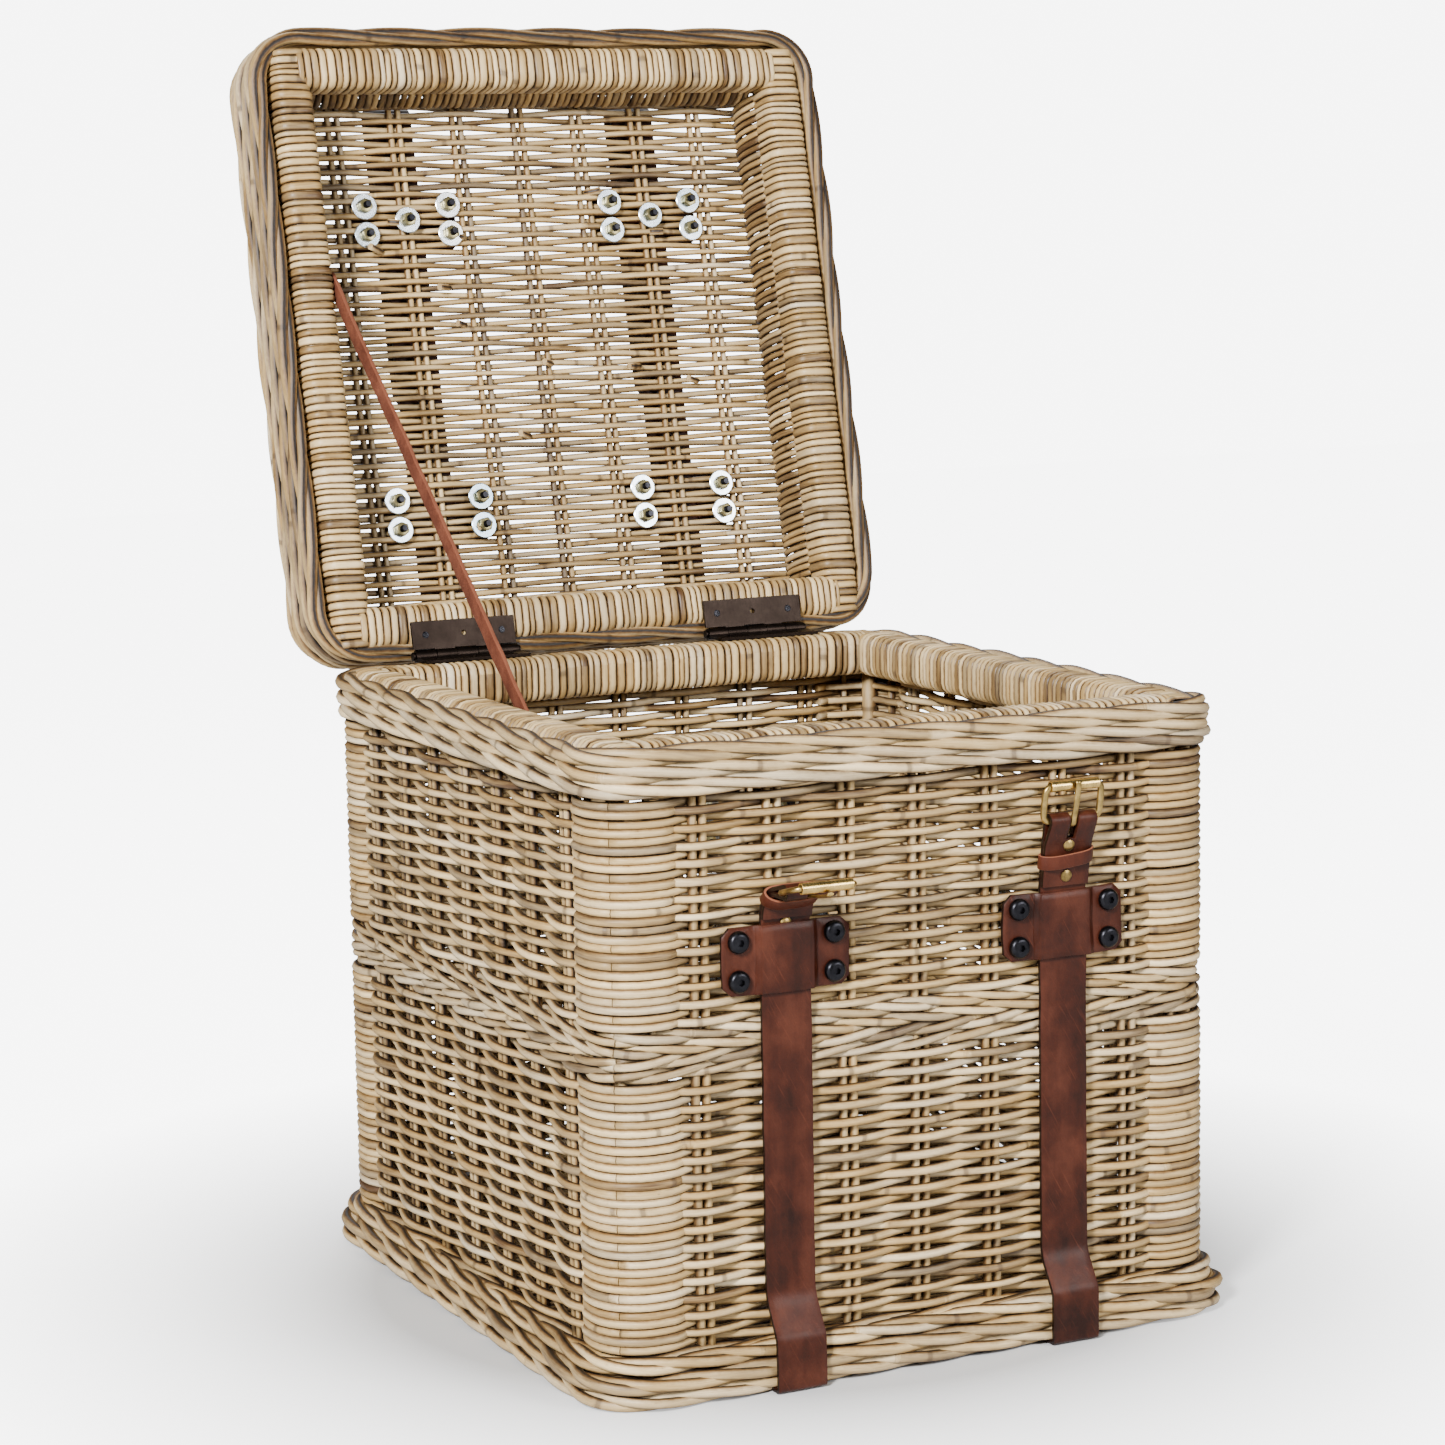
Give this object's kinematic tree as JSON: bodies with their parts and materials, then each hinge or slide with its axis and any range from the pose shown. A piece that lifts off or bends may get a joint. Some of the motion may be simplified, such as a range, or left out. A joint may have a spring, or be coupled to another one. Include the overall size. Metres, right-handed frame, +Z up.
{
  "type": "wicker storage trunk",
  "caption": "Square woven rattan trunk with a hinged lid, leather belts with roller buckles, and a suede strap that holds the lid open.",
  "frame": {"origin": "middle of the foot, on the floor", "axes": "+Z up, the front with the buckles faces -Y, +X to the right seen from the front"},
  "size_m": [0.527, 0.7888, 0.9656],
  "materials": {
    "woven_rattan": "natural round rattan, dry and lightly polished",
    "rope_rattan": "thicker grey-washed rattan",
    "wrapped_rattan": "flat peeled rattan wraps, satin",
    "leather": "waxed brown belt leather, satin",
    "suede": "reddish suede, matte",
    "brass": "antique brass",
    "bronze": "dark antique bronze plate",
    "black_steel": "black button-head bolts"
  },
  "bodies": {
    "trunk": {"floor_panel": "woven_rattan", "front_wall": "woven_rattan", "back_wall": "woven_rattan", "left_wall": "woven_rattan", "right_wall": "woven_rattan", "front_left_corner_post": "woven_rattan", "front_right_corner_post": "woven_rattan", "back_left_corner_post": "woven_rattan", "back_right_corner_post": "woven_rattan", "bottom_border": "rope_rattan", "top_border": "rope_rattan", "rim_frame": "wrapped_rattan", "stay_strap": "suede", "left_hinge_trunk_leaf": "bronze", "left_hinge_pin": "bronze", "left_front_plate": "leather", "left_back_plate": "leather", "left_front_bolt_1": "black_steel", "left_front_bolt_2": "black_steel", "left_front_bolt_3": "black_steel", "left_front_bolt_4": "black_steel", "left_trunk_belt": "leather", "left_keeper_loop": "leather", "right_hinge_trunk_leaf": "bronze", "right_hinge_pin": "bronze", "right_front_plate": "leather", "right_back_plate": "leather", "right_front_bolt_1": "black_steel", "right_front_bolt_2": "black_steel", "right_front_bolt_3": "black_steel", "right_front_bolt_4": "black_steel", "right_trunk_belt": "leather", "right_keeper_loop": "leather"},
    "lid": {"lid_rim_frame": "wrapped_rattan", "lid_skirt": "rope_rattan", "lid_panel": "woven_rattan", "left_hinge_lid_leaf": "bronze", "left_lid_front_plate": "leather", "left_lid_rear_plate": "leather", "left_lid_bolt_1": "black_steel", "left_lid_bolt_2": "black_steel", "left_lid_bolt_3": "black_steel", "left_lid_bolt_4": "black_steel", "left_lid_bolt_5": "black_steel", "left_lid_belt": "leather", "right_hinge_lid_leaf": "bronze", "right_lid_front_plate": "leather", "right_lid_rear_plate": "leather", "right_lid_bolt_1": "black_steel", "right_lid_bolt_2": "black_steel", "right_lid_bolt_3": "black_steel", "right_lid_bolt_4": "black_steel", "right_lid_bolt_5": "black_steel", "right_lid_belt": "leather"},
    "left_buckle": {"left_buckle_frame": "brass"},
    "left_prong": {"left_buckle_prong": "brass"},
    "left_roller": {"left_buckle_roller": "brass"},
    "right_buckle": {"right_buckle_frame": "brass"},
    "right_prong": {"right_buckle_prong": "brass"},
    "right_roller": {"right_buckle_roller": "brass"}
  },
  "joints": [
    {"name": "lid_hinge", "type": "hinge", "parent": "trunk", "child": "lid", "pos_m": [0, 0.2584, 0.463], "axis": [1, 0, 0], "range_deg": [0, 103], "deforming": ["stay_strap"]},
    {"name": "left_buckle_pivot", "type": "hinge", "parent": "trunk", "child": "left_buckle", "pos_m": [-0.111, -0.29815, 0.35807], "axis": [1, 0, 0], "range_deg": [0, 80]},
    {"name": "left_prong_pivot", "type": "hinge", "parent": "left_buckle", "child": "left_prong", "pos_m": [-0.111, -0.29815, 0.35807], "axis": [1, 0, 0], "range_deg": [0, 55]},
    {"name": "left_roller_spin", "type": "hinge", "parent": "left_buckle", "child": "left_roller", "pos_m": [-0.111, -0.32327, 0.3648], "axis": [1, 0, 0], "continuous": true},
    {"name": "right_buckle_pivot", "type": "hinge", "parent": "trunk", "child": "right_buckle", "pos_m": [0.111, -0.27337, 0.38254], "axis": [1, 0, 0], "range_deg": [0, 80]},
    {"name": "right_prong_pivot", "type": "hinge", "parent": "right_buckle", "child": "right_prong", "pos_m": [0.111, -0.27337, 0.38254], "axis": [1, 0, 0], "range_deg": [0, 55]},
    {"name": "right_roller_spin", "type": "hinge", "parent": "right_buckle", "child": "right_roller", "pos_m": [0.111, -0.27789, 0.40815], "axis": [1, 0, 0], "continuous": true}
  ]
}
